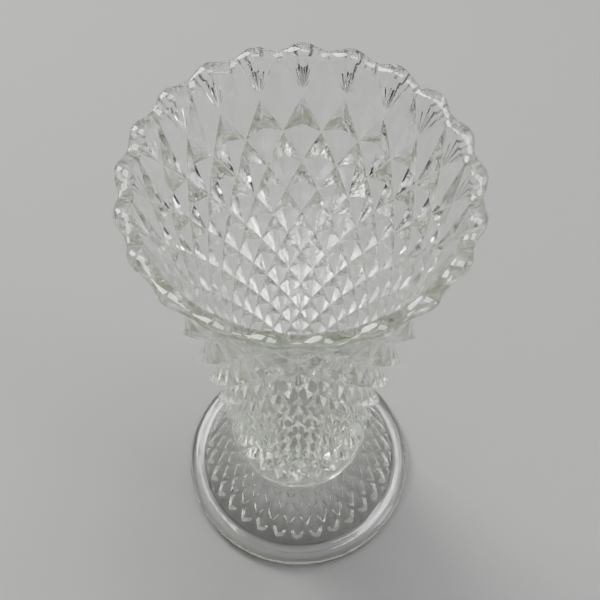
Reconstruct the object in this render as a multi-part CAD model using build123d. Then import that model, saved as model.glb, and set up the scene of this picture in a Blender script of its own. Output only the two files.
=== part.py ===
from build123d import *

import math
import os

# Footed flower vase of clear pressed glass, diamond points outside and smooth inside.
# The axis of the vase is Z, +Z is up, and the origin is where that axis meets the table.
# Three regions of one pressing, each its own node, meet face to face:
#   body    flared wall with the diamond points, the scalloped lip and the inside floor
#   collar  plain wafer between the body and the foot
#   foot    hollow domed foot with a rounded edge, and pressed petals on its underside
# Turns are counted from +Y towards +X. Millimetres throughout.

# ---- overall sizes ----
height = 254.0  # table to the top of a scallop
rim_radius = 64.2  # axis to the outermost point of a scallop
foot_radius = 58.3  # axis to the widest point of the foot's edge

# ---- diamond points on the body ----
columns = 21  # scallops round the lip, and points in each row
rows = 17  # half points between the lip and the collar
waist_radius = 28.1  # bottom of a groove where the body meets the collar
even_flare = 18.0  # what the groove radius gains evenly up to the lip
late_power = 3  # the rest of the gain comes late, as this power of the height
mouth_inset = 3.0  # grooves carried on up to the lip's height end this far inside it
point_relief = 0.168  # height of the lowest points over the grooves, as a share of the radius
point_fade = 3.5  # points get lower towards the lip, as this power of the height

# ---- scalloped lip ----
scallop_bulge = 2.0  # a scallop stands this much further out than the notch beside it
scallop_rise = 0.8  # and this much higher at the outer edge of the lip
scallop_dip = 3.0  # and this much higher at the inner edge, where notches are deeper
scallop_steps = 8  # straight bits in one scallop
lip_side = 2.2  # height of the rounded outer side of the lip
lip_inset = 1.3  # how far the top of the lip lies inside its outer side
pattern_drop = 1.5  # top of a scallop to where the rows of points start

# ---- inside of the body ----
lip_wall = 3.0  # glass behind a groove at the lip
floor_wall = 5.5  # glass behind a groove at the collar
floor_thickness = 10.0  # collar to the inside floor
floor_round = 8.0  # radius of the corner between floor and wall
plunger_overrun = 5.0  # how far the core that makes the inside stands out of the lip

# ---- collar ----
collar_top = 54.0  # table to the underside of the body
collar_height = 3.5
collar_overhang = 1.0  # how far the collar stands out past the lowest diamond points
collar_round = 1.2

# ---- foot ----
neck_inset = 1.0  # the dome is this much slimmer than the collar at its top
brim_width = 9.2  # from where the dome turns into the brim to the edge
bell_height = 10.5  # table to that turn
brim_thickness = 8.6  # at the round edge
rest_width = 4.0  # ring that touches the table
crown_thickness = 9.0  # glass between the hollow and the collar

# ---- petals under the foot ----
petals = 30  # in each ring
petal_rows = 5  # half petals between the brim and the crown
petal_relief = 0.06  # how deep a petal is let into the glass, as a share of its radius
petal_margin = 3.0  # from the ring that touches the table to the outer petals
hollow_level = 4.0  # table to the outer ends of the outer petals
crown_wall = 11.7  # from the dome's slim top to the inner ends of the inner petals
hollow_curve = 0.85  # below 1 the hollow swells outwards, 1 is a cone
crown_dome = 1.5  # rise of the plain middle of the hollow

# ---- worked out from the sizes above ----
pattern_top = height - pattern_drop
dome_top = collar_top - collar_height
collar_radius = waist_radius * (1 + point_relief) + collar_overhang
neck_radius = collar_radius - neck_inset
crown_level = dome_top - crown_thickness
edge_radius = brim_thickness / 2
rest_outer = foot_radius - edge_radius
rest_inner = rest_outer - rest_width
late_flare = rim_radius - mouth_inset - waist_radius - even_flare
bell_radius = foot_radius - brim_width
hollow_radius = rest_inner - petal_margin
crown_radius = neck_radius - crown_wall


def groove_radius(level):
    """Radius of the grooves between the diamond points at a level of the body."""
    share = (level - collar_top) / (height - collar_top)
    return waist_radius + even_flare * share + late_flare * share**late_power


def tip_radius(level):
    """Radius of the diamond points at a level of the body."""
    share = (level - collar_top) / (height - collar_top)
    return groove_radius(level) * (1 + point_relief * (1 - share**point_fade))


def inside_radius(level):
    """Radius of the smooth inside of the body at a level."""
    share = (level - collar_top) / (height - collar_top)
    return groove_radius(level) - floor_wall - (lip_wall - floor_wall) * share


def petal_radius(level):
    """Radius of the hollow under the foot at a level, on the ridges between petals."""
    share = (crown_level - level) / (crown_level - hollow_level)
    return crown_radius + (hollow_radius - crown_radius) * max(share, 0) ** hollow_curve


def petal_bed(level):
    """Radius of the hollow at a level, at the deepest point of a petal."""
    return petal_radius(level) * (1 + petal_relief)


def ring_point(radius, turn, level):
    """A point at a radius, a share of a full turn from +Y, and a level."""
    angle = 2 * math.pi * turn
    return Vector(radius * math.sin(angle), radius * math.cos(angle), level)


def solid_of(triangles):
    """A solid from triangles of points that close round it."""
    faces = [Face(Wire.make_polygon(corners, close=True)) for corners in triangles]
    return Solid(Shell(faces))


def even_rows(radius_at, first, last, count, steps=2000):
    """Levels from first to last whose gaps keep the same share of the radius."""
    levels = [first + (last - first) * i / steps for i in range(steps + 1)]
    run = [0.0]
    for near, far in zip(levels, levels[1:]):
        run.append(run[-1] + abs(near - far) / radius_at((near + far) / 2))
    picked = []
    for row in range(count + 1):
        goal = run[-1] * row / count
        i = next((k for k in range(1, steps) if run[k] >= goal), steps)
        share = (goal - run[i - 1]) / (run[i] - run[i - 1])
        picked.append(levels[i - 1] + (levels[i] - levels[i - 1]) * share)
    return picked


class DiamondSkin:
    """Rows of four-sided points, staggered by half a point from row to row.

    Its corners lie on a grid of rows and half columns. Where the two numbers add up to
    an odd number the corner is a meeting of grooves, and elsewhere it is a tip.
    """

    def __init__(self, levels, groove_at, tip_at, count):
        self.levels = levels
        self.groove_at = groove_at
        self.tip_at = tip_at
        self.halves = 2 * count

    def corner(self, row, half, plain=False):
        tip = (row + half) % 2 == 0 and not plain
        level = self.levels[row]
        radius = self.tip_at(level) if tip else self.groove_at(level)
        return ring_point(radius, half / self.halves, level)

    def triangles(self, plain_rows=()):
        """Four triangles round each tip, and two in the first and last row."""
        last = len(self.levels) - 1

        def at(row, half):
            return self.corner(row, half, row in plain_rows)

        found = []
        for row in range(last + 1):
            for half in range(row % 2, self.halves, 2):
                tip, before, after = at(row, half), at(row, half - 1), at(row, half + 1)
                if row > 0:
                    found.append((tip, before, at(row - 1, half)))
                    found.append((tip, at(row - 1, half), after))
                if row < last:
                    found.append((tip, at(row + 1, half), before))
                    found.append((tip, after, at(row + 1, half)))
        return found


def make_plunger():
    """The smooth core that leaves the inside of the body, from the floor to past the lip."""
    floor_level = collar_top + floor_thickness
    start = floor_level + floor_round
    stations = [start + (height - start) * i / 6 for i in range(7)]
    wall = [(inside_radius(level), level) for level in stations]
    top = height + plunger_overrun
    with BuildPart() as plunger:
        with BuildSketch(Plane.XZ):
            with BuildLine():
                side = Spline(wall)
                floor_end = (wall[0][0] - floor_round, floor_level)
                TangentArc(wall[0], floor_end, tangent=-(side % 0))
                Polyline(floor_end, (0, floor_level), (0, top), (wall[-1][0], top), wall[-1])
            make_face()
        revolve(axis=Axis.Z)
    return plunger.part


def make_body():
    levels = even_rows(groove_radius, pattern_top, collar_top, rows)
    skin = DiamondSkin(levels[1:], groove_radius, tip_radius, columns)
    steps = columns * scallop_steps

    def lip_point(step, inset, drop, dip=scallop_rise):
        """A point of the lip, which dips and draws in towards each notch as a cosine."""
        notch = math.sin(math.pi * step / scallop_steps) ** 2
        radius = rim_radius - inset - scallop_bulge * notch
        return ring_point(radius, step / steps, height - drop - dip * notch)

    def outer(step):
        return lip_point(step, 0, lip_side)

    def upper(step):
        return lip_point(step, lip_inset, 0)

    def inner(step):
        """A point inside the core, in line with the top of the lip."""
        reach = (rim_radius - lip_inset - inside_radius(height)) * 2
        return lip_point(step, lip_inset + reach, 0, 2 * scallop_dip - scallop_rise)

    # The skin's first row starts half a column on, so its places are shifted by one.
    def shifted(point):
        return point.rotate(Axis.Z, -180 / columns)

    triangles = [tuple(shifted(p) for p in corners) for corners in skin.triangles()]

    # A scallop fans out from the grooves that meet below it. A point hangs from each notch.
    for column in range(columns):
        below = shifted(skin.corner(0, 2 * column - 1))
        tip = shifted(skin.corner(0, 2 * column))
        after = shifted(skin.corner(0, 2 * column + 1))
        peak = column * scallop_steps
        notch = peak + scallop_steps // 2
        for step in range(notch - scallop_steps, notch):
            triangles.append((below, outer(step), outer(step + 1)))
        triangles.append((tip, below, outer(notch)))
        triangles.append((tip, outer(notch), after))

    # The lip's rounded side, and the top and bottom of the block that the core is cut from.
    top = Vector(0, 0, height - scallop_dip)
    bottom = Vector(0, 0, collar_top)
    for step in range(steps):
        triangles.append((outer(step), upper(step), outer(step + 1)))
        triangles.append((outer(step + 1), upper(step), upper(step + 1)))
        triangles.append((upper(step), inner(step), upper(step + 1)))
        triangles.append((upper(step + 1), inner(step), inner(step + 1)))
        triangles.append((inner(step), top, inner(step + 1)))
    for half in range(2 * columns):
        edge = [shifted(skin.corner(rows - 1, half + i)) for i in (0, 1)]
        triangles.append((bottom, *edge))
    return solid_of(triangles) - make_plunger()


def make_collar():
    with BuildPart() as collar:
        with BuildSketch(Plane.XZ):
            with BuildLine():
                low = (collar_radius, dome_top + collar_round)
                high = (collar_radius, collar_top - collar_round)
                turn = (collar_radius - collar_round, collar_top)
                Polyline((0, collar_top), (0, dome_top), (neck_radius, dome_top), low, high)
                RadiusArc(high, turn, -collar_round)
                Line(turn, (0, collar_top))
            make_face()
        revolve(axis=Axis.Z)
    return collar.part


def make_petal_core():
    """The solid that leaves the hollow under the foot, with a swelling for each petal."""
    levels = even_rows(petal_radius, crown_level, hollow_level, petal_rows)
    skin = DiamondSkin(levels, petal_radius, petal_bed, petals)
    triangles = skin.triangles(plain_rows=(0, petal_rows))
    top = Vector(0, 0, crown_level + crown_dome)
    below = -brim_thickness
    for half in range(2 * petals):
        turns = [half / skin.halves, (half + 1) / skin.halves]
        crown = [skin.corner(0, half + i, plain=True) for i in (0, 1)]
        brim = [skin.corner(petal_rows, half + i, plain=True) for i in (0, 1)]
        rest = [ring_point(rest_inner, turn, 0) for turn in turns]
        deep = [ring_point(rest_inner, turn, below) for turn in turns]
        triangles.append((top, crown[1], crown[0]))
        for upper, lower in ((brim, rest), (rest, deep)):
            triangles.append((lower[0], upper[0], lower[1]))
            triangles.append((lower[1], upper[0], upper[1]))
        triangles.append((Vector(0, 0, below), deep[0], deep[1]))
    return solid_of(triangles)


def make_foot():
    with BuildPart() as dome:
        with BuildSketch(Plane.XZ):
            with BuildLine():
                brim = (rest_outer, brim_thickness)
                Spline(
                    [(neck_radius, dome_top), (bell_radius, bell_height), brim],
                    tangents=[(0.1, -1), (1, -0.2)],
                )
                ThreePointArc(brim, (foot_radius, edge_radius), (rest_outer, 0))
                Polyline((rest_outer, 0), (0, 0), (0, dome_top), (neck_radius, dome_top))
            make_face()
        revolve(axis=Axis.Z)
    return dome.part - make_petal_core()


if __name__ == "__main__":
    os.makedirs("parts", exist_ok=True)
    made = {"body": make_body(), "collar": make_collar(), "foot": make_foot()}
    for name, piece in made.items():
        export_step(piece, f"parts/{name}.step")
        print(name, round(piece.volume), "mm3", len(piece.faces()), "faces", piece.is_valid)
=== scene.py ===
import math

import bmesh
import bpy
from mathutils import Euler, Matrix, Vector


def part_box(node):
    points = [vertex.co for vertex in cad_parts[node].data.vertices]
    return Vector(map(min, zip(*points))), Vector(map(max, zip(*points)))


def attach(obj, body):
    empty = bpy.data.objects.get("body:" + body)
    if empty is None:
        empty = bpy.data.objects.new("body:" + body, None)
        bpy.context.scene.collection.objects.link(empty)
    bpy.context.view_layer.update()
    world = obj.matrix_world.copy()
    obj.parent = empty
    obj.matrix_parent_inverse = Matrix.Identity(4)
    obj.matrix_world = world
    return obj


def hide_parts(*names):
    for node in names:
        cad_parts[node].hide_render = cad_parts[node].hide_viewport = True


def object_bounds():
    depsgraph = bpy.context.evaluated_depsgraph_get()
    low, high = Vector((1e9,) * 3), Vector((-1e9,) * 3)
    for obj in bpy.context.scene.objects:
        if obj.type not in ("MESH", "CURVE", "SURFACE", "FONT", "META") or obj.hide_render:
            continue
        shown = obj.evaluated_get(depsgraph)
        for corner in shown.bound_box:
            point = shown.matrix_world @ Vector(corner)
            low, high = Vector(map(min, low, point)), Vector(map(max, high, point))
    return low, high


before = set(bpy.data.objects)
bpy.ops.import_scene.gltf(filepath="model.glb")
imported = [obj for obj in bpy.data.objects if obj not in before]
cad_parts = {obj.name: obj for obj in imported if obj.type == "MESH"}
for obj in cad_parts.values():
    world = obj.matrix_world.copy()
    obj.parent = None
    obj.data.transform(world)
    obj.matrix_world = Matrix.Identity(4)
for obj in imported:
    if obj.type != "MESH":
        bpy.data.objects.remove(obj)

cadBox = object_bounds()
print("frame loaded:", ", ".join(sorted(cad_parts)))


# node helpers, the same for shaders and geometry

class Wire:
    # a socket that adds its own maths nodes when it is used in an expression
    def __init__(self, tree, socket):
        self.tree = tree
        self.socket = socket

    def maths(self, operation, *values):
        return addNode(self.tree, "ShaderNodeMath", {"operation": operation},
                       dict(enumerate(values)))

    def apply(self, operation, *others):
        # for the operations that have no sign of their own
        return self.maths(operation, self, *others)

    def beside(self, name):
        # another output of the same node
        return Wire(self.tree, self.socket.node.outputs[name])

    def __add__(self, other):
        return self.maths("ADD", self, other)

    def __radd__(self, other):
        return self.maths("ADD", other, self)

    def __sub__(self, other):
        return self.maths("SUBTRACT", self, other)

    def __rsub__(self, other):
        return self.maths("SUBTRACT", other, self)

    def __mul__(self, other):
        return self.maths("MULTIPLY", self, other)

    def __rmul__(self, other):
        return self.maths("MULTIPLY", other, self)

    def __truediv__(self, other):
        return self.maths("DIVIDE", self, other)

    def __rtruediv__(self, other):
        return self.maths("DIVIDE", other, self)

    def __mod__(self, other):
        return self.maths("FLOORED_MODULO", self, other)

    def __rmod__(self, other):
        return self.maths("FLOORED_MODULO", other, self)

    def __abs__(self):
        return self.apply("ABSOLUTE")


def addNode(tree, kind, settings=None, values=None, output=0):
    node = tree.nodes.new(kind)
    for name, value in (settings or {}).items():
        setattr(node, name, value)
    for name, value in (values or {}).items():
        if isinstance(value, Wire):
            tree.links.new(value.socket, node.inputs[name])
        else:
            node.inputs[name].default_value = value
    return Wire(tree, node.outputs[output])


glass = {
    "ior": 1.52,
    "tint": (0.77, 0.80, 0.71, 1.0),
    "tintDensity": 14.0,  # how soon the tint shows, per metre of glass
    "roughLow": 0.0,
    "roughHigh": 0.012,
    "rippleScale": 70.0,  # slow ripples of pressed glass, per metre
    "rippleDepth": 0.00035,
    "rippleDetail": 1.0,
    "rippleRoughness": 0.4,
    "grainScale": 420.0,  # finer unevenness on top of them
    "grainDepth": 0.00004,
    "grainDetail": 2.0,
    "grainRoughness": 0.5,
}


def pressedGlass(name):
    # clear glass with a faint grey-green tint, and the slow ripples that pressing leaves
    material = bpy.data.materials.new(name)
    material.use_nodes = True
    tree = material.node_tree
    tree.nodes.clear()
    place = addNode(tree, "ShaderNodeTexCoord", output="Object")
    ripple = addNode(tree, "ShaderNodeTexNoise", None, {
        "Vector": place, "Scale": glass["rippleScale"],
        "Detail": glass["rippleDetail"], "Roughness": glass["rippleRoughness"]})
    grain = addNode(tree, "ShaderNodeTexNoise", None, {
        "Vector": place, "Scale": glass["grainScale"],
        "Detail": glass["grainDetail"], "Roughness": glass["grainRoughness"]})
    bumps = ripple * glass["rippleDepth"] + grain * glass["grainDepth"]
    bump = addNode(tree, "ShaderNodeBump", None,
                   {"Strength": 1.0, "Distance": 1.0, "Height": bumps})
    spread = glass["roughHigh"] - glass["roughLow"]
    surface = addNode(tree, "ShaderNodeBsdfPrincipled", None, {
        "Base Color": (1.0, 1.0, 1.0, 1.0),
        "Roughness": ripple * spread + glass["roughLow"],
        "IOR": glass["ior"],
        "Transmission Weight": 1.0,
        "Normal": bump,
    })
    inside = addNode(tree, "ShaderNodeVolumeAbsorption", None,
                     {"Color": glass["tint"], "Density": glass["tintDensity"]})
    end = tree.nodes.new("ShaderNodeOutputMaterial")
    tree.links.new(surface.socket, end.inputs["Surface"])
    tree.links.new(inside.socket, end.inputs["Volume"])
    return material


def diamondSkinTree():
    # A skin of staggered points, for the outside of the body and the hollow of the foot.
    # It wraps a grid round the axis along a section of points, one for each row, that hold the
    # groove radius, the height of a tip over it and the level. Every second corner of the
    # half-column grid is a tip.
    tree = bpy.data.node_groups.new("diamondSkin", "GeometryNodeTree")
    tree.interface.new_socket("Section", in_out="INPUT", socket_type="NodeSocketGeometry")
    for name, kind in (("Columns", "Int"), ("Steps", "Int"), ("First Tip", "Int"),
                       ("Roundness", "Float"), ("Glass", "Material")):
        tree.interface.new_socket(name, in_out="INPUT", socket_type="NodeSocket" + kind)
    tree.interface.new_socket("Skin", in_out="OUTPUT", socket_type="NodeSocketGeometry")
    start = tree.nodes.new("NodeGroupInput")
    given = {socket.name: Wire(tree, socket) for socket in start.outputs if socket.name}

    rows = addNode(tree, "GeometryNodeAttributeDomainSize", {"component": "MESH"},
                   {"Geometry": given["Section"]}, "Point Count")
    gaps = rows - 1
    halves = given["Columns"] * 2
    grid = addNode(tree, "GeometryNodeMeshGrid", None, {
        "Size X": 1.0, "Size Y": 1.0,
        "Vertices X": halves * given["Steps"] + 1,
        "Vertices Y": gaps * given["Steps"] + 1,
    }, "Mesh")
    place = addNode(tree, "GeometryNodeInputPosition")
    split = addNode(tree, "ShaderNodeSeparateXYZ", None, {0: place})
    across = (split + 0.5) * halves
    down = (split.beside("Y") + 0.5) * gaps
    above = down.apply("FLOOR")

    # a quad is cut along the groove that crosses its part of the grid
    tipFirst = 1 - (across.apply("FLOOR") + above + given["First Tip"]) % 2
    half = addNode(tree, "GeometryNodeTriangulate", {"quad_method": "FIXED_ALTERNATE"},
                   {"Mesh": grid, "Selection": tipFirst})
    cut = addNode(tree, "GeometryNodeTriangulate", {"quad_method": "FIXED"}, {"Mesh": half})

    # the section between two rows
    below = (above + 1).apply("MINIMUM", gaps)
    ends = [addNode(tree, "GeometryNodeSampleIndex",
                    {"data_type": "FLOAT_VECTOR", "domain": "POINT"},
                    {"Geometry": given["Section"], "Value": place, "Index": index})
            for index in (above, below)]
    between = addNode(tree, "ShaderNodeMix", {"data_type": "VECTOR"},
                      {"Factor": down - above, 4: ends[0], 5: ends[1]}, 1)
    groove = addNode(tree, "ShaderNodeSeparateXYZ", None, {0: between})
    relief = groove.beside("Y")
    level = groove.beside("Z")

    # 1 on a tip, 0 along the grooves, which slant both ways
    slantA = (across + down + given["First Tip"]) / 2
    slantB = (across - down + given["First Tip"]) / 2
    awayA = abs(slantA - slantA.apply("ROUND")) * 2
    awayB = abs(slantB - slantB.apply("ROUND")) * 2
    sharp = 1 - awayA.apply("MAXIMUM", awayB)
    swollen = (1 - awayA * awayA) * (1 - awayB * awayB)
    rise = sharp + (swollen - sharp) * given["Roundness"]

    radius = groove + relief * rise
    turn = across / halves * (2 * math.pi)
    wrapped = addNode(tree, "ShaderNodeCombineXYZ", None, {
        "X": radius * turn.apply("SINE"), "Y": radius * turn.apply("COSINE"), "Z": level})
    bent = addNode(tree, "GeometryNodeSetPosition", None, {"Geometry": cut, "Position": wrapped})
    closed = addNode(tree, "GeometryNodeMergeByDistance", None,
                     {"Geometry": bent, "Distance": 1e-6})
    real = addNode(tree, "GeometryNodeRealizeInstances", None, {"Geometry": closed})
    glazed = addNode(tree, "GeometryNodeSetMaterial", None,
                     {"Geometry": real, "Material": given["Glass"]})
    end = tree.nodes.new("NodeGroupOutput")
    tree.links.new(glazed.socket, end.inputs["Skin"])
    return tree


def grownSkin(name, tree, section, **given):
    # runs the tree on a section and gives back the plain mesh that it makes
    line = bpy.data.meshes.new(name + "Section")
    line.from_pydata(section, [], [])
    holder = bpy.data.objects.new(name + "Section", line)
    bpy.context.scene.collection.objects.link(holder)
    modifier = holder.modifiers.new("skin", "NODES")
    modifier.node_group = tree
    for item in tree.interface.items_tree:
        if item.name in given:
            modifier[item.identifier] = given[item.name]
    bpy.context.view_layer.update()
    graph = bpy.context.evaluated_depsgraph_get()
    mesh = bpy.data.meshes.new_from_object(holder.evaluated_get(graph))
    bpy.data.objects.remove(holder)
    return mesh


def evenRows(radiusAt, first, last, count, steps=2000):
    # levels from first to last whose gaps keep the same share of the radius
    levels = [first + (last - first) * i / steps for i in range(steps + 1)]
    run = [0.0]
    for near, far in zip(levels, levels[1:]):
        run.append(run[-1] + abs(near - far) / radiusAt((near + far) / 2))
    picked = []
    for row in range(count + 1):
        goal = run[-1] * row / count
        i = next((k for k in range(1, steps) if run[k] >= goal), steps)
        share = (goal - run[i - 1]) / (run[i] - run[i - 1])
        picked.append(levels[i - 1] + (levels[i] - levels[i - 1]) * share)
    return picked


# rings of points round the axis

def onRing(radius, turn, level):
    angle = 2 * math.pi * turn
    return Vector((radius * math.sin(angle), radius * math.cos(angle), level))


def turnOf(vertex):
    turn = math.atan2(vertex.co.x, vertex.co.y) / (2 * math.pi)
    return turn + 1 if turn < -1e-6 else max(turn, 0.0)


def addRing(made, count, point):
    # point(turn) gives a place for each of count turns
    return [made.verts.new(point(i / count)) for i in range(count)]


def loopAt(made, level):
    # the vertices at one level, in order round the axis
    found = [v for v in made.verts if abs(v.co.z - level) < 1e-6]
    return sorted(found, key=turnOf)


def stitch(made, ringA, ringB):
    # joins two rings by quads where their turns agree, and by triangles elsewhere
    turnsA = [turnOf(v) for v in ringA] + [1 + turnOf(ringA[0])]
    turnsB = [turnOf(v) for v in ringB] + [1 + turnOf(ringB[0])]
    a = b = 0
    while a < len(ringA) or b < len(ringB):
        a1, b1 = (a + 1) % len(ringA), (b + 1) % len(ringB)
        nowA, nowB = ringA[a % len(ringA)], ringB[b % len(ringB)]
        nextA = turnsA[a + 1] if a < len(ringA) else 9
        nextB = turnsB[b + 1] if b < len(ringB) else 9
        if abs(nextA - nextB) < 1e-5:
            made.faces.new((nowA, ringA[a1], ringB[b1], nowB))
            a, b = a + 1, b + 1
        elif nextA < nextB:
            made.faces.new((nowA, ringA[a1], nowB))
            a += 1
        else:
            made.faces.new((nowA, ringB[b1], nowB))
            b += 1


def closeRing(made, ring, centre):
    hub = made.verts.new(centre)
    for now, after in zip(ring, ring[1:] + ring[:1]):
        made.faces.new((now, after, hub))


def finishPiece(made, name, material):
    # turns the rings into an object with one material, its faces pointing outwards
    bmesh.ops.recalc_face_normals(made, faces=made.faces)
    mesh = bpy.data.meshes.new(name)
    made.to_mesh(mesh)
    made.free()
    mesh.materials.clear()
    mesh.materials.append(material)
    mesh.shade_smooth()
    piece = bpy.data.objects.new(name, mesh)
    bpy.context.scene.collection.objects.link(piece)
    print(name, len(mesh.polygons), "faces")
    return piece


def softenEdges(piece, width, angle, segments):
    # rounds the edges that are sharper than the angle, in degrees
    bevel = piece.modifiers.new("softEdges", "BEVEL")
    bevel.width = width
    bevel.segments = segments
    bevel.limit_method = "ANGLE"
    bevel.angle_limit = math.radians(angle)
    bevel.use_clamp_overlap = True
    bevel.harden_normals = True
    bevel.miter_outer = "MITER_SHARP"


# the levels that the three regions share
height = cadBox[1].z
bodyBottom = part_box("body")[0].z
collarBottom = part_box("collar")[0].z
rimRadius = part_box("body")[1].y
footRadius = max(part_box("foot")[1].x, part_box("foot")[1].y)
seams = (1 / 6, 3 / 6, 5 / 6)  # turns of the three mould seams

body = {
    "columns": 21,
    "rows": 17,
    "waistRadius": 0.0281,
    "evenFlare": 0.0180,  # how far the grooves lean out evenly
    "latePower": 3,  # how late the rest of the flare comes
    "mouthInset": 0.0030,  # from the lip in to the grooves below it
    "relief": 0.168,  # tips over grooves, as a share of the radius
    "reliefFade": 3.5,  # tips get lower towards the lip, as this power of the height
    "roundness": 0.10,  # 0 for flat facets, 1 for cushions
    "steps": 3,  # across half a column
    "patternDrop": 0.0015,
    "lipSteps": 20,  # along a scallop
    "flutes": 5,  # soft folds in each scallop
    "fluteDepth": 0.0009,
    "fluteAt": 0.6,  # where they are deepest, from the grooves below up to the lip
    "lipTurns": 10,  # steps over the top of the lip
    "scallopRise": 0.0013,  # how far a notch is cut down outside
    "scallopDip": 0.0030,  # and inside
    "scallopBulge": 0.0020,  # and how far it is set in
    "lipSide": 0.0024,  # height of the rounding of the lip
    "lipFullness": 0.8,  # below 1 it is squarer than a half circle
    "lipCrown": 0.7,
    "lipWall": 0.0030,
    "floorWall": 0.0055,
    "floorThickness": 0.0100,
    "floorRound": 0.0080,
    "floorRoundSteps": 6,
    "insideRings": 26,
    "edgeSoftness": 0.00040,
    "edgeAngle": 24,
    "edgeSegments": 2,
}


def grooveRadius(level):
    share = (level - bodyBottom) / (height - bodyBottom)
    lateFlare = rimRadius - body["mouthInset"] - body["waistRadius"] - body["evenFlare"]
    return body["waistRadius"] + body["evenFlare"] * share + lateFlare * share ** body["latePower"]


def tipHeight(level):
    share = (level - bodyBottom) / (height - bodyBottom)
    return grooveRadius(level) * body["relief"] * (1 - share ** body["reliefFade"])


def insideRadius(level):
    share = (level - bodyBottom) / (height - bodyBottom)
    wall = body["floorWall"] - (body["floorWall"] - body["lipWall"]) * share
    return grooveRadius(level) - wall


def lipPoint(turn, swing):
    # swing goes from 0 on the outer side of the lip, over its top, to 1 on the inside wall
    notch = math.sin(math.pi * turn * body["columns"]) ** 2
    outerRadius = rimRadius - body["scallopBulge"] * notch
    outerLevel = height - body["scallopRise"] * notch
    innerLevel = height - body["scallopDip"] * notch
    innerRadius = insideRadius(innerLevel - body["lipSide"])
    side, top = math.cos(math.pi * swing), math.sin(math.pi * swing)
    reach = math.copysign(abs(side) ** body["lipFullness"], side)
    radius = (outerRadius + innerRadius) / 2 + (outerRadius - innerRadius) / 2 * reach
    crest = outerLevel + (innerLevel - outerLevel) * (1 - reach) / 2
    return onRing(radius, turn, crest - body["lipSide"] * (1 - top ** body["lipCrown"]))


def makeBodyGlass(tree, material):
    levels = evenRows(grooveRadius, height - body["patternDrop"], bodyBottom, body["rows"])
    section = [(grooveRadius(level), tipHeight(level), level) for level in levels[1:]]
    skin = grownSkin("bodySkin", tree, section, **{
        "Columns": body["columns"], "Steps": body["steps"], "First Tip": 1,
        "Roundness": body["roundness"], "Glass": material})
    made = bmesh.new()
    made.from_mesh(skin)
    top = loopAt(made, levels[1])
    bottom = loopAt(made, levels[-1])

    # over the lip and down the inside
    around = body["columns"] * body["lipSteps"]
    rings = [addRing(made, around, lambda turn, k=k: lipPoint(turn, k / body["lipTurns"]))
             for k in range(body["lipTurns"] + 1)]
    floorLevel = bodyBottom + body["floorThickness"]
    wallEnd = floorLevel + body["floorRound"]
    wallStart = height - 2 * body["scallopDip"] - body["lipSide"]
    for k in range(body["insideRings"]):
        level = wallStart + (wallEnd - wallStart) * k / (body["insideRings"] - 1)
        rings.append(addRing(made, around, lambda turn: onRing(insideRadius(level), turn, level)))
    cornerRadius = insideRadius(wallEnd) - body["floorRound"]
    for k in range(1, body["floorRoundSteps"] + 1):
        bend = math.pi / 2 * k / body["floorRoundSteps"]
        rings.append(addRing(made, around, lambda turn: onRing(
            cornerRadius + body["floorRound"] * math.cos(bend),
            turn, floorLevel + body["floorRound"] * (1 - math.sin(bend)))))
    for outer, inner in zip(rings, rings[1:]):
        stitch(made, outer, inner)
    closeRing(made, rings[-1], (0, 0, floorLevel))
    closeRing(made, bottom, (0, 0, bodyBottom))

    # each scallop fans out in soft folds from the grooves below it, and a slim point hangs
    # from each notch
    steps, lip = body["steps"], body["lipSteps"]
    for column in range(body["columns"]):
        here = 2 * column * steps
        edge = [rings[0][(column * lip + k) % around]
                for k in range(-lip // 2, lip // 2 + 1)]
        middle = list(edge)
        for k in range(1, lip):
            place = top[here].co.lerp(edge[k].co, body["fluteAt"])
            wave = math.cos(2 * math.pi * body["flutes"] * k / lip)
            swell = wave * math.sin(math.pi * k / lip)
            outwards = Vector((place.x, place.y, 0)).normalized()
            middle[k] = made.verts.new(place + outwards * swell * body["fluteDepth"])
        for k in range(lip):
            made.faces.new((top[here], middle[k], middle[k + 1]))
            corners = (middle[k], edge[k], edge[k + 1], middle[k + 1])
            made.faces.new(tuple(dict.fromkeys(corners)))  # a triangle at the two ends
        notch = rings[0][column * lip + lip // 2]
        for k in range(here, here + 2 * steps):
            made.faces.new((top[k], notch, top[(k + 1) % len(top)]))
    piece = finishPiece(made, "bodyGlass", material)
    softenEdges(piece, body["edgeSoftness"], body["edgeAngle"], body["edgeSegments"])
    return piece


collar = {
    "overhang": 0.0010,  # past the lowest points of the body
    "round": 0.0012,
    "roundSteps": 6,
    "slope": 0.9,  # height of the sloping lower edge, as a share of the rounding
    "around": 252,  # steps round it
    "neckInset": 0.0010,
    "corner": 0.0006,  # how far it stands out at the mould seams
    "gap": 0.00003,  # keeps the faces of two pieces apart
}

foot = {
    "petals": 30,
    "rows": 5,
    "relief": 0.06,  # how deep a petal is let into the glass, as a share of its radius
    "roundness": 1.0,
    "steps": 5,  # across half a petal
    "petalMargin": 0.0030,
    "hollowLevel": 0.0040,
    "hollowCurve": 0.85,  # below 1 the hollow is a dome
    "crownThickness": 0.0090,
    "crownWall": 0.0117,
    "crownDome": 0.0015,
    "restWidth": 0.0040,
    "brimWidth": 0.0092,
    "brimThickness": 0.0086,
    "brimSteps": 12,
    "brimRun": (-0.0060, 0.0012),  # inwards and upwards, where the top of the brim starts
    "bellHeight": 0.0105,
    "bellPull": 0.012,
    "bellBrimShare": 0.7,  # how hard the brim turns into the bell
    "bellDomeShare": 2.6,  # and the bell into the dome
    "bellSteps": 6,
    "domeSteps": 24,
    "neckRise": (-0.0045, 0.045),  # inwards and upwards, where the dome meets the collar
    "around": 300,  # steps round it, and three more at each seam
    "seamHeight": 0.00016,
    "seamWidth": 0.0004,
    "seamStart": 5,  # the first ring of the brim that a seam stands on
}

collarRadius = body["waistRadius"] * (1 + body["relief"]) + collar["overhang"]
neckRadius = collarRadius - collar["neckInset"]


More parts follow.
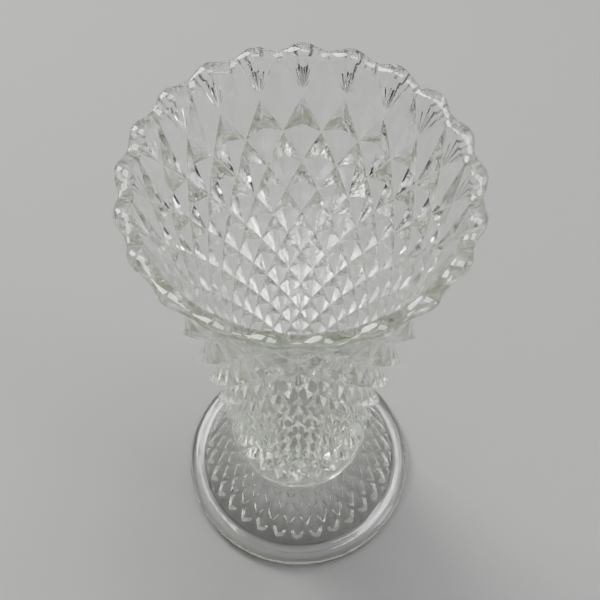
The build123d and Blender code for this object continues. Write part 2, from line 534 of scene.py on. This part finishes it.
def cornered(radius, turn, amount):
    # swells a circle a little towards the three mould seams
    return radius + amount * math.cos(len(seams) * 2 * math.pi * (turn - seams[0]))


def seamTurns(count, radius):
    # even turns, with three more close together at each mould seam
    turns = [i / count for i in range(count)]
    step = foot["seamWidth"] / (2 * math.pi * radius)
    for seam in seams:
        turns = [turn for turn in turns if abs(turn - seam) > 1.5 * step]
        turns += [seam - step, seam, seam + step]
    return sorted(turns)


def makeCollarGlass(material):
    made = bmesh.new()
    low, high = collarBottom + collar["gap"], bodyBottom - collar["gap"]
    profile = [(neckRadius, low), (collarRadius, low + collar["round"] * collar["slope"])]
    for k in range(collar["roundSteps"] + 1):
        bend = math.pi / 2 * k / collar["roundSteps"]
        profile.append((collarRadius - collar["round"] * (1 - math.cos(bend)),
                        high - collar["round"] * (1 - math.sin(bend))))
    rings = [addRing(made, collar["around"], lambda turn: onRing(
        cornered(radius, turn, collar["corner"]), turn, level)) for radius, level in profile]
    for lower, upper in zip(rings, rings[1:]):
        stitch(made, lower, upper)
    closeRing(made, rings[0], (0, 0, low))
    closeRing(made, rings[-1], (0, 0, high))
    return finishPiece(made, "collarGlass", material)


def hermite(start, end, startSlope, endSlope, share):
    # a place on the smooth curve that leaves and arrives along the two slopes
    a, b = share * share * (3 - 2 * share), share * (1 - share) ** 2
    c = share * share * (share - 1)
    return start + (end - start) * a + startSlope * b + endSlope * c


def makeFootGlass(tree, material):
    # the hollow with its petals
    edge = foot["brimThickness"] / 2
    restOuter = footRadius - edge
    restInner = restOuter - foot["restWidth"]
    hollowRadius = restInner - foot["petalMargin"]
    crownRadius = neckRadius - foot["crownWall"]
    crownLevel = collarBottom - foot["crownThickness"]

    def petalRadius(level):
        share = (crownLevel - level) / (crownLevel - foot["hollowLevel"])
        return crownRadius + (hollowRadius - crownRadius) * max(share, 0) ** foot["hollowCurve"]

    levels = evenRows(petalRadius, crownLevel, foot["hollowLevel"], foot["rows"])
    section = [(petalRadius(level), foot["relief"] * petalRadius(level), level)
               for level in levels]
    for end in (0, -1):  # plain at both ends
        section[end] = (section[end][0], 0.0, section[end][2])
    skin = grownSkin("petalSkin", tree, section, **{
        "Columns": foot["petals"], "Steps": foot["steps"], "First Tip": 0,
        "Roundness": foot["roundness"], "Glass": material})
    made = bmesh.new()
    made.from_mesh(skin)
    crown = loopAt(made, levels[0])
    brim = loopAt(made, levels[-1])
    closeRing(made, crown, (0, 0, crownLevel + foot["crownDome"]))

    # from the hollow under the brim, round its edge and up the dome, with the mould seams
    profile = [(restInner, 0.0), ((restInner + restOuter) / 2, 0.0)]
    for k in range(foot["brimSteps"] + 1):
        bend = math.pi * k / foot["brimSteps"]
        profile.append((restOuter + edge * math.sin(bend), edge * (1 - math.cos(bend))))
    bell = Vector((footRadius - foot["brimWidth"], foot["bellHeight"]))
    brimTop = Vector((restOuter, foot["brimThickness"]))
    neck = Vector((neckRadius, collarBottom - collar["gap"]))
    inwards = (neck - brimTop).normalized() * foot["bellPull"]
    run, rise = Vector(foot["brimRun"]), Vector(foot["neckRise"])
    for k in range(1, foot["bellSteps"] + 1):
        share = k / foot["bellSteps"]
        profile.append(tuple(
            hermite(brimTop, bell, run, inwards * foot["bellBrimShare"], share)))
    for k in range(1, foot["domeSteps"] + 1):
        share = k / foot["domeSteps"]
        profile.append(tuple(
            hermite(bell, neck, inwards * foot["bellDomeShare"], rise, share)))
    turns = seamTurns(foot["around"], footRadius)
    rings = []
    for index, (radius, level) in enumerate(profile):
        domeShare = max(0.0, (level - bell.y) / (neck.y - bell.y))
        ring = []
        for turn in turns:
            onSeam = min(abs(turn - seam) for seam in seams) < 1e-9
            lift = foot["seamHeight"] if onSeam and index >= foot["seamStart"] else 0.0
            wide = cornered(radius, turn, collar["corner"] * domeShare)
            ring.append(made.verts.new(onRing(wide + lift, turn, level)))
        rings.append(ring)
    stitch(made, brim, rings[0])
    for lower, upper in zip(rings, rings[1:]):
        stitch(made, lower, upper)
    closeRing(made, rings[-1], (0, 0, neck.y))
    return finishPiece(made, "footGlass", material)


view = {
    "distance": 0.2163,  # from the axis, measured level
    "lift": 0.5482,  # over the table
    "turn": 0.45,  # degrees round the vase, from the front
    "down": 59.99,  # degrees below level
    "roll": 0.46,
    "lens": 64.46,
    "sensor": 36.0,
    "nearest": 0.01,
}


def makeCamera():
    data = bpy.data.cameras.new("camera")
    data.lens = view["lens"]
    data.sensor_width = view["sensor"]
    data.clip_start = view["nearest"]
    camera = bpy.data.objects.new("camera", data)
    turn = math.radians(view["turn"])
    camera.location = (view["distance"] * math.sin(turn),
                       -view["distance"] * math.cos(turn), view["lift"])
    aim = Euler((math.radians(90 - view["down"]), 0, turn)).to_matrix()
    roll = Euler((0, 0, math.radians(view["roll"]))).to_matrix()
    camera.rotation_euler = (aim @ roll).to_euler()
    bpy.context.scene.collection.objects.link(camera)
    bpy.context.scene.camera = camera
    print("camera placed")


stage = {
    "floorRadius": 0.8,
    "floorSides": 96,
    "floorColour": (0.27, 0.267, 0.26, 1.0),
    "floorRoughness": 0.8,
    "floorDrop": 0.0002,  # keeps it clear of the resting ring
    "softboxes": (  # name, place, what it points at, size, watts, colour
        ("window", (-0.75, 0.85, 1.15), (0, 0, 0.12), (0.5, 0.8), 14, (1.0, 0.98, 0.95)),
        ("overhead", (0.15, 0.35, 1.7), (0, 0, 0.12), (0.9, 0.6), 12, (0.98, 0.99, 1.0)),
        ("fill", (1.3, -0.4, 0.8), (0, 0, 0.1), (0.4, 0.8), 4, (0.95, 0.98, 1.0)),
    ),
    "skyColour": (0.96, 0.98, 1.0, 1.0),
    "skyFrom": 0.42,  # sine of the height where the sky starts to brighten
    "skyTo": 0.80,
    "horizonStrength": 0.05,
    "zenithStrength": 1.15,
}


def softbox(name, place, aim, size, power, colour):
    data = bpy.data.lights.new(name, "AREA")
    data.shape = "RECTANGLE"
    data.size, data.size_y = size
    data.energy = power
    data.color = colour
    lamp = bpy.data.objects.new(name, data)
    lamp.location = place
    lamp.rotation_euler = (Vector(aim) - Vector(place)).to_track_quat("-Z", "Y").to_euler()
    bpy.context.scene.collection.objects.link(lamp)


def makeStage():
    made = bmesh.new()
    bmesh.ops.create_circle(
        made, cap_ends=True, segments=stage["floorSides"], radius=stage["floorRadius"])
    mesh = bpy.data.meshes.new("floor")
    made.to_mesh(mesh)
    made.free()
    material = bpy.data.materials.new("paleFloor")
    material.use_nodes = True
    paint = material.node_tree.nodes["Principled BSDF"]
    paint.inputs["Base Color"].default_value = stage["floorColour"]
    paint.inputs["Roughness"].default_value = stage["floorRoughness"]
    mesh.materials.append(material)
    floor = bpy.data.objects.new("floor", mesh)
    floor.location.z = cadBox[0].z - stage["floorDrop"]
    bpy.context.scene.collection.objects.link(floor)

    for settings in stage["softboxes"]:
        softbox(*settings)

    # dark at the horizon and bright overhead
    world = bpy.data.worlds.new("studio")
    bpy.context.scene.world = world
    world.use_nodes = True
    tree = world.node_tree
    tree.nodes.clear()
    place = addNode(tree, "ShaderNodeTexCoord", output="Generated")
    up = addNode(tree, "ShaderNodeSeparateXYZ", None, {0: place})
    lift = addNode(tree, "ShaderNodeMapRange", {"interpolation_type": "SMOOTHSTEP"}, {
        "Value": up.beside("Z"),
        "From Min": stage["skyFrom"], "From Max": stage["skyTo"],
        "To Min": stage["horizonStrength"], "To Max": stage["zenithStrength"]})
    sky = addNode(tree, "ShaderNodeBackground", None,
                  {"Color": stage["skyColour"], "Strength": lift})
    end = tree.nodes.new("ShaderNodeOutputWorld")
    tree.links.new(sky.socket, end.inputs["Surface"])
    print("floor and", len(stage["softboxes"]), "softboxes placed")


def steadyLight():
    # enough bounces for light to get through several walls of glass
    cycles = bpy.context.scene.cycles
    cycles.max_bounces = 32
    cycles.transmission_bounces = 32
    cycles.glossy_bounces = 16
    cycles.diffuse_bounces = 3
    cycles.volume_bounces = 0
    cycles.caustics_refractive = True
    cycles.caustics_reflective = True
    cycles.sample_clamp_indirect = 6.0
    cycles.blur_glossy = 0.3
    bpy.context.scene.view_settings.view_transform = "AgX"
    bpy.context.scene.view_settings.look = "AgX - High Contrast"


makeCamera()
skinTree = diamondSkinTree()
print("tree for the points built")
bodyPiece = makeBodyGlass(skinTree, pressedGlass("bodyClearGlass"))
collarPiece = makeCollarGlass(pressedGlass("collarClearGlass"))
footPiece = makeFootGlass(skinTree, pressedGlass("footClearGlass"))
for piece, node in ((bodyPiece, "body"), (collarPiece, "collar"), (footPiece, "foot")):
    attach(piece, "root")
    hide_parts(node)
makeStage()
steadyLight()
